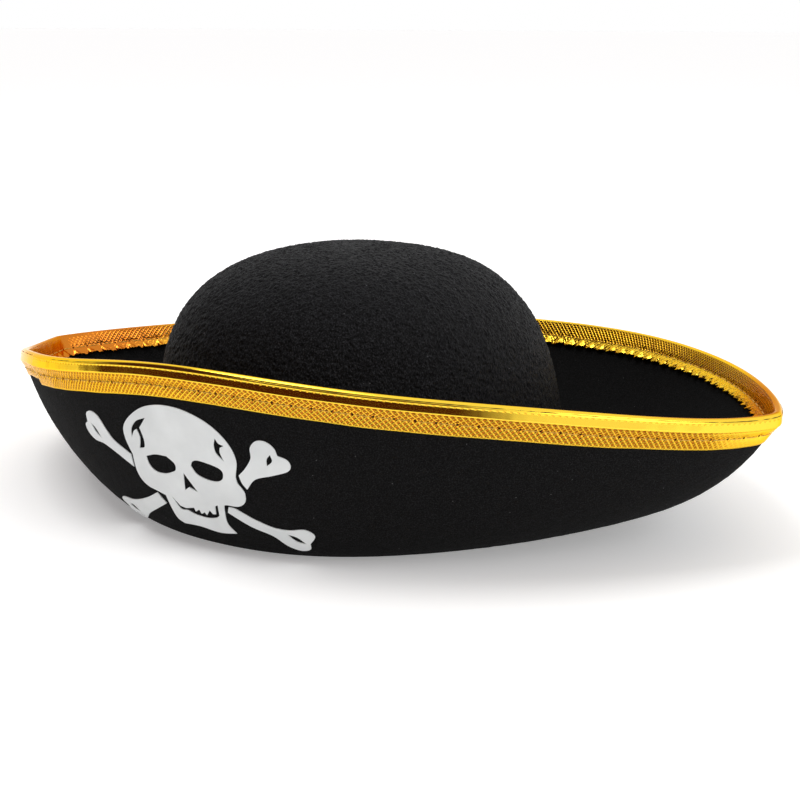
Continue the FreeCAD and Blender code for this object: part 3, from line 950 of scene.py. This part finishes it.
leftCrack = [
    [(-14.4, 55.2), (-20, 53), (-23.9, 49.2), (-25, 45.2)],
    [(-25, 45.2), (-22.9, 48.2), (-21, 49.4)],
    [(-21, 49.4), (-20.3, 46), (-22, 41.2)],
    [(-22, 41.2), (-19, 42.2), (-18.2, 46), (-19, 50.4)],
    [(-19, 50.4), (-17, 52.4), (-14.4, 55.2)],
]
rightCrack = [
    [(18, 51.6), (19, 49.6), (21.2, 48.8)],
    [(21.2, 48.8), (19.2, 47.8)],
    [(19.2, 47.8), (18.7, 45.6), (19.6, 42.2)],
    [(19.6, 42.2), (16.9, 45.2), (16.7, 48.4), (18, 51.6)],
]
bones = {
    "UpperLeft": (
        [
            [(-28.8, 37.2), (-37.4, 41.6), (-41, 45.7), (-44.5, 50.6), (-48.5, 51.9), (-52.4, 50.3),
             (-53.3, 46.4)],
            [(-53.3, 46.4), (-55.7, 44.6), (-55, 41.5), (-51.3, 38.9), (-45, 38.4), (-38, 35.8),
             (-29.3, 31.6)],
            [(-29.3, 31.6), (-28.8, 37.2)],
        ],
        [[(-50.8, 46.4), (-48, 44.4), (-45.8, 40.8)], [(-45.8, 40.8), (-48.9, 42.9), (-50.8, 46.4)]],
    ),
    "UpperRight": (
        [
            [(24.4, 37), (27.8, 40.2), (31.3, 44.9), (32.1, 49.4), (34.9, 52.3), (38.4, 52.6),
             (41.4, 50.3), (42.2, 47.1)],
            [(42.2, 47.1), (45.4, 45.8), (46.4, 43.2), (44.6, 40.8), (38.3, 38.5), (31, 36.1),
             (26.4, 31.3)],
            [(26.4, 31.3), (24.9, 33.8), (24.4, 37)],
        ],
        [[(39.5, 47.3), (39.7, 44.6), (37.2, 42.4)], [(37.2, 42.4), (37.7, 45.2), (39.5, 47.3)]],
    ),
    "LowerRight": (
        [
            [(15.4, 22), (18.4, 21.7), (24.5, 18.4), (31.8, 15.4), (38, 14.8), (44.5, 15.7),
             (47.3, 13), (43.9, 8.8)],
            [(43.9, 8.8), (42.6, 6), (38.5, 4.9), (34.6, 6.8), (30.5, 11.2), (22.6, 14.4), (14.2, 19.4)],
            [(14.2, 19.4), (15.4, 22)],
        ],
        [[(36.8, 12.8), (40.2, 11.7), (42.6, 8.7)], [(42.6, 8.7), (39.1, 9.7), (36.8, 12.8)]],
    ),
    "LowerLeft": (
        [
            [(-20.3, 21.9), (-28.2, 17.8), (-38.5, 14.2), (-47.5, 13.2), (-51.2, 10.6), (-49.4, 8)],
            [(-49.4, 8), (-49.6, 4.8), (-45, 3.2), (-39.2, 4.4), (-32.2, 9.2), (-24.6, 13.4), (-17, 17.6)],
            [(-17, 17.6), (-20.3, 21.9)],
        ],
        [[(-46, 9.8), (-43, 10.4), (-40, 7.8)], [(-40, 7.8), (-43.1, 8.2), (-46, 9.8)]],
    ),
}


def smoothLoop(stretches):
    out = []
    for points in stretches:
        dense = smoothRow(np.array(points, float) * mm, emblem["curveSteps"])
        length = np.concatenate([[0], np.cumsum(np.linalg.norm(np.diff(dense, axis=0), axis=1))])
        count = max(1, round(length[-1] / emblem["edgeStep"]))
        goals = np.linspace(0, length[-1], count + 1)[:-1]
        out.append(np.stack([np.interp(goals, length, dense[:, k]) for k in (0, 1)], 1))
    return np.vstack(out)


def insideLoop(points, loop):
    x, y = points[:, None, 0], points[:, None, 1]
    x1, y1 = loop[None, :, 0], loop[None, :, 1]
    x2, y2 = np.roll(loop[:, 0], -1)[None], np.roll(loop[:, 1], -1)[None]
    cross = ((y1 > y) != (y2 > y)) & (x < (x2 - x1) * (y - y1) / np.where(y2 == y1, 1e-12, y2 - y1) + x1)
    return cross.sum(1) % 2 == 1


def insidePrint(points, loops):
    keep = insideLoop(points, loops[0])
    for hole in loops[1:]:
        keep &= ~insideLoop(points, hole)
    return keep


# The front quarter of the brim's outer face, which the prints are laid on
def frontTree():
    phi = np.linspace(math.radians(225), math.radians(315), 260)
    ts = np.linspace(0.02, 1, 160)
    p, t = np.meshgrid(phi, ts, indexing="ij")
    grid = brimPoint(p, t, np.zeros_like(t))
    rows = len(ts)
    faces = [(i * rows + j, (i + 1) * rows + j, (i + 1) * rows + j + 1, i * rows + j + 1)
             for i in range(len(phi) - 1) for j in range(rows - 1)]
    return BVHTree.FromPolygons(grid.reshape(-1, 3).tolist(), faces)


brimFront = frontTree()


def ontoBrim(x, z, lift):
    place, normal, _, _ = brimFront.ray_cast(Vector((x, -0.2, z)), Vector((0, 1, 0)))
    if place is None:
        place, normal, _, _ = brimFront.find_nearest(Vector((x, -0.1, z)))
    if normal.y > 0:
        normal = -normal
    return np.array(place + normal * lift)


def printTriangles(outline, holes):
    loops = [smoothLoop(outline)] + [smoothLoop(hole) for hole in holes]
    points, edges = [], []
    for loop in loops:
        base = len(points)
        points += [tuple(q) for q in loop]
        edges += [(base + i, base + (i + 1) % len(loop)) for i in range(len(loop))]
    low, high = loops[0].min(0), loops[0].max(0)
    step = emblem["grid"]
    columns = np.arange(low[0], high[0], step)
    rows = np.arange(low[1], high[1], step * emblem["rowShare"])
    gx, gz = np.meshgrid(columns, rows, indexing="ij")
    gx[:, 1::2] += step / 2
    inner = np.stack([gx.ravel(), gz.ravel()], 1)
    border = np.vstack(loops)
    nearest = np.array([np.min(np.sum((border - q) ** 2, 1)) for q in inner])
    inner = inner[nearest > (emblem["edgeClear"] * step) ** 2]
    points += [tuple(q) for q in inner[insidePrint(inner, loops)]]
    verts2d, _, tris, _, _, _ = delaunay_2d_cdt([Vector(q) for q in points], edges, [], 0, 1e-7)
    flat = np.array([tuple(v) for v in verts2d])
    tris = np.array([t for t in tris if len(t) == 3])
    return flat, tris[insidePrint(flat[tris].mean(1), loops)]


def buildPrint(name, cadNode, outline, holes):
    flat, tris = printTriangles(outline, holes)
    count = len(flat)
    top = np.array([ontoBrim(x, z, emblem["top"]) for x, z in flat])
    bottom = np.array([ontoBrim(x, z, emblem["underside"]) for x, z in flat])
    a, b, c = top[tris[:, 0]], top[tris[:, 1]], top[tris[:, 2]]
    flip = np.cross(b - a, c - a)[:, 1] > 0
    tris[flip] = tris[flip][:, ::-1]
    sides = dict.fromkeys((t[k], t[(k + 1) % 3]) for t in tris.tolist() for k in range(3))
    faces = tris.tolist() + (tris[:, ::-1] + count).tolist()
    faces += [(q, p, p + count, q + count) for p, q in sides if (q, p) not in sides]
    verts = np.vstack([top, bottom])
    needed = sorted({i for f in faces for i in f})
    renumber = {old: new for new, old in enumerate(needed)}
    obj = meshObject(name, verts[needed], [tuple(renumber[i] for i in f) for f in faces], smooth=False)
    obj.data.materials.append(printFilm)
    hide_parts(cadNode)
    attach(obj, "root")
    return obj


def printMaterial():
    material, tree, shader = newMaterial("printFilm")
    link = tree.links.new
    coords = node(tree, "ShaderNodeTexCoord")
    cloud = node(tree, "ShaderNodeTexNoise")
    cloud.inputs["Scale"].default_value = 60
    cloud.inputs["Detail"].default_value = 3
    link(coords.outputs["Object"], cloud.inputs["Vector"])
    colour = rampNode(tree, cloud.outputs[0], [(0.3, (0.71, 0.74, 0.74)), (0.7, (0.82, 0.85, 0.85))])
    link(colour, shader.inputs["Base Color"])
    grain = node(tree, "ShaderNodeTexNoise")
    grain.inputs["Scale"].default_value = 900
    grain.inputs["Detail"].default_value = 3
    link(coords.outputs["Object"], grain.inputs["Vector"])
    bump = node(tree, "ShaderNodeBump")
    bump.inputs["Strength"].default_value = 0.25
    bump.inputs["Distance"].default_value = 0.2 * mm
    link(grain.outputs[0], bump.inputs["Height"])
    link(bump.outputs[0], shader.inputs["Normal"])
    shader.inputs["Roughness"].default_value = 0.55
    return material


printFilm = printMaterial()
buildPrint("skullPrint", "skull_print", skullOutline, [leftEye, rightEye, nose, teeth, leftCrack, rightCrack])
for place, cadNode in (("UpperLeft", "upper_left"), ("UpperRight", "upper_right"),
                       ("LowerLeft", "lower_left"), ("LowerRight", "lower_right")):
    outline, slit = bones[place]
    buildPrint("bonePrint" + place, "bone_print_" + cadNode, outline, [slit])
print("prints built")

# The sweatband stands just inside the crown, its ribs running up and down
band = {
    "columns": 560,
    "rows": 16,
    "low": 1.2 * mm,
    "high": 26 * mm,
    "gap": 0.6 * mm,
    "thick": 0.8 * mm,
    "width": 25 * mm,
    "meanRadius": 88 * mm,
    "ribPitch": 1.1 * mm,
    "profileSteps": 400,
}


def grosgrainMaterial():
    material, tree, shader = newMaterial("sweatbandGrosgrain")
    link = tree.links.new
    uv = node(tree, "ShaderNodeUVMap", uv_map="run")
    split = node(tree, "ShaderNodeSeparateXYZ")
    link(uv.outputs[0], split.inputs[0])
    turns = mathNode(tree, "MULTIPLY", split.outputs[0], 2 * math.pi / band["ribPitch"])
    ribs = mathNode(tree, "MULTIPLY_ADD", mathNode(tree, "SINE", turns), 0.5, 0.5)
    # The grooves between the ribs are painted darker than the rib tops: painted shade
    colour = rampNode(tree, ribs, [(0.0, (0.006, 0.006, 0.007)), (1.0, (0.028, 0.028, 0.032))])
    link(colour, shader.inputs["Base Color"])
    bump = node(tree, "ShaderNodeBump")
    bump.inputs["Strength"].default_value = 0.7
    bump.inputs["Distance"].default_value = 0.3 * mm
    link(ribs, bump.inputs["Height"])
    link(bump.outputs[0], shader.inputs["Normal"])
    shader.inputs["Roughness"].default_value = 0.5
    shader.inputs["Sheen Weight"].default_value = 0.2
    return material


def buildSweatband():
    cols = band["columns"]
    phi = np.arange(cols) * 2 * math.pi / cols
    ts = np.linspace(0, 1, band["profileSteps"])
    insets = (felt + band["gap"], felt + band["gap"] + band["thick"])
    levels = np.linspace(band["low"], band["high"], band["rows"])
    faces = []
    for inset, order in zip(insets, (1, -1)):
        heights = crownPoint(np.zeros(len(ts)), ts, inset)[:, 2]
        p, t = np.meshgrid(phi, np.interp(levels, heights, ts)[::order], indexing="ij")
        faces.append(crownPoint(p, t, inset))
    up = np.linspace(0, band["width"], band["rows"])
    obj = ringObject("sweatbandCloth", np.concatenate(faces, 1),
                     (phi * band["meanRadius"], np.concatenate([up, up[::-1]])))
    obj.data.materials.append(grosgrainMaterial())
    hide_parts("sweatband")
    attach(obj, "root")
    return obj


sweatband = buildSweatband()
for name in ("sweatband_stitches", "crown_seam_stitches"):
    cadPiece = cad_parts[name]
    cadPiece.data.materials.clear()
    cadPiece.data.materials.append(blackThread)
print("sweatband built")

# The hat stands on a pale floor in a white room with one dark side, which the foil mirrors
view = {
    "azimuth": 33.0,
    "elevation": 13.6,
    "distance": 0.700,
    "focal": 71.4,
    "sensor": 36,
    "nearest": 0.01,
    "aimRight": 13.7 * mm,
    "aimUp": 37.7 * mm,
}
# The dark side's angles are from the hat's front toward +X, and its top is the height of the direction
studio = {
    "light": (1.0, 1.0, 1.0),
    "dark": (0.060, 0.016, 0.012),
    "darkCentre": math.radians(-18),
    "darkHalf": (math.radians(58), math.radians(78)),
    "darkTop": (0.76, 0.90),
    "floorSize": 40,
    "floorDrop": 0.6 * mm,
    "lightAim": (0, 0, 0.05),
}


def buildCamera():
    az, el = math.radians(view["azimuth"]), math.radians(view["elevation"])
    back = Vector((math.sin(az) * math.cos(el), -math.cos(az) * math.cos(el), math.sin(el)))
    right = Vector((math.cos(az), math.sin(az), 0))
    aim = right * view["aimRight"] + Vector((0, 0, view["aimUp"]))
    camera = bpy.data.objects.new("camera", bpy.data.cameras.new("camera"))
    camera.data.lens = view["focal"]
    camera.data.sensor_width = view["sensor"]
    camera.data.clip_start = view["nearest"]
    camera.location = aim + back * view["distance"]
    camera.rotation_euler = back.to_track_quat("Z", "Y").to_euler()
    bpy.context.scene.collection.objects.link(camera)
    bpy.context.scene.camera = camera


def areaLight(name, place, size, power):
    light = bpy.data.lights.new(name, "AREA")
    light.shape = "RECTANGLE"
    light.size, light.size_y = size
    light.energy = power
    obj = bpy.data.objects.new(name, light)
    obj.location = place
    obj.rotation_euler = (Vector(place) - Vector(studio["lightAim"])).to_track_quat("Z", "Y").to_euler()
    bpy.context.scene.collection.objects.link(obj)


def buildWorld():
    world = bpy.data.worlds.new("studio")
    bpy.context.scene.world = world
    world.use_nodes = True
    tree = world.node_tree
    link = tree.links.new
    background = tree.nodes["Background"]
    coords = node(tree, "ShaderNodeTexCoord")
    split = node(tree, "ShaderNodeSeparateXYZ")
    link(coords.outputs["Generated"], split.inputs[0])
    angle = mathNode(tree, "ARCTAN2", split.outputs[0], mathNode(tree, "MULTIPLY", split.outputs[1], -1.0))
    off = mathNode(tree, "ABSOLUTE", mathNode(tree, "SUBTRACT", angle, studio["darkCentre"]))
    sector = rangeNode(tree, off, *studio["darkHalf"], 1.0, 0.0)
    below = rangeNode(tree, split.outputs[2], *studio["darkTop"], 1.0, 0.0)
    dark = mathNode(tree, "MULTIPLY", sector, below)
    colour = rampNode(tree, dark, [(0.0, studio["light"]), (1.0, studio["dark"])])
    link(colour, background.inputs["Color"])
    background.inputs["Strength"].default_value = 1.0


def buildFloor():
    bpy.ops.mesh.primitive_plane_add(size=studio["floorSize"], location=(0, 0, -studio["floorDrop"]))
    floor = bpy.context.object
    floor.name = "floor"
    material, _, shader = newMaterial("paleFloor")
    shader.inputs["Base Color"].default_value = (0.92, 0.92, 0.92, 1)
    shader.inputs["Roughness"].default_value = 0.9
    shader.inputs["Specular IOR Level"].default_value = 0.0
    shader.inputs["Emission Color"].default_value = (1, 1, 1, 1)
    shader.inputs["Emission Strength"].default_value = 0.3
    floor.data.materials.append(material)


buildCamera()
buildWorld()
buildFloor()
areaLight("key", (-0.45, -0.55, 2.0), (1.0, 1.0), 14)
areaLight("fill", (1.7, -0.3, 1.0), (0.8, 1.0), 5)
bpy.context.scene.view_settings.view_transform = "Standard"
print("stage set")
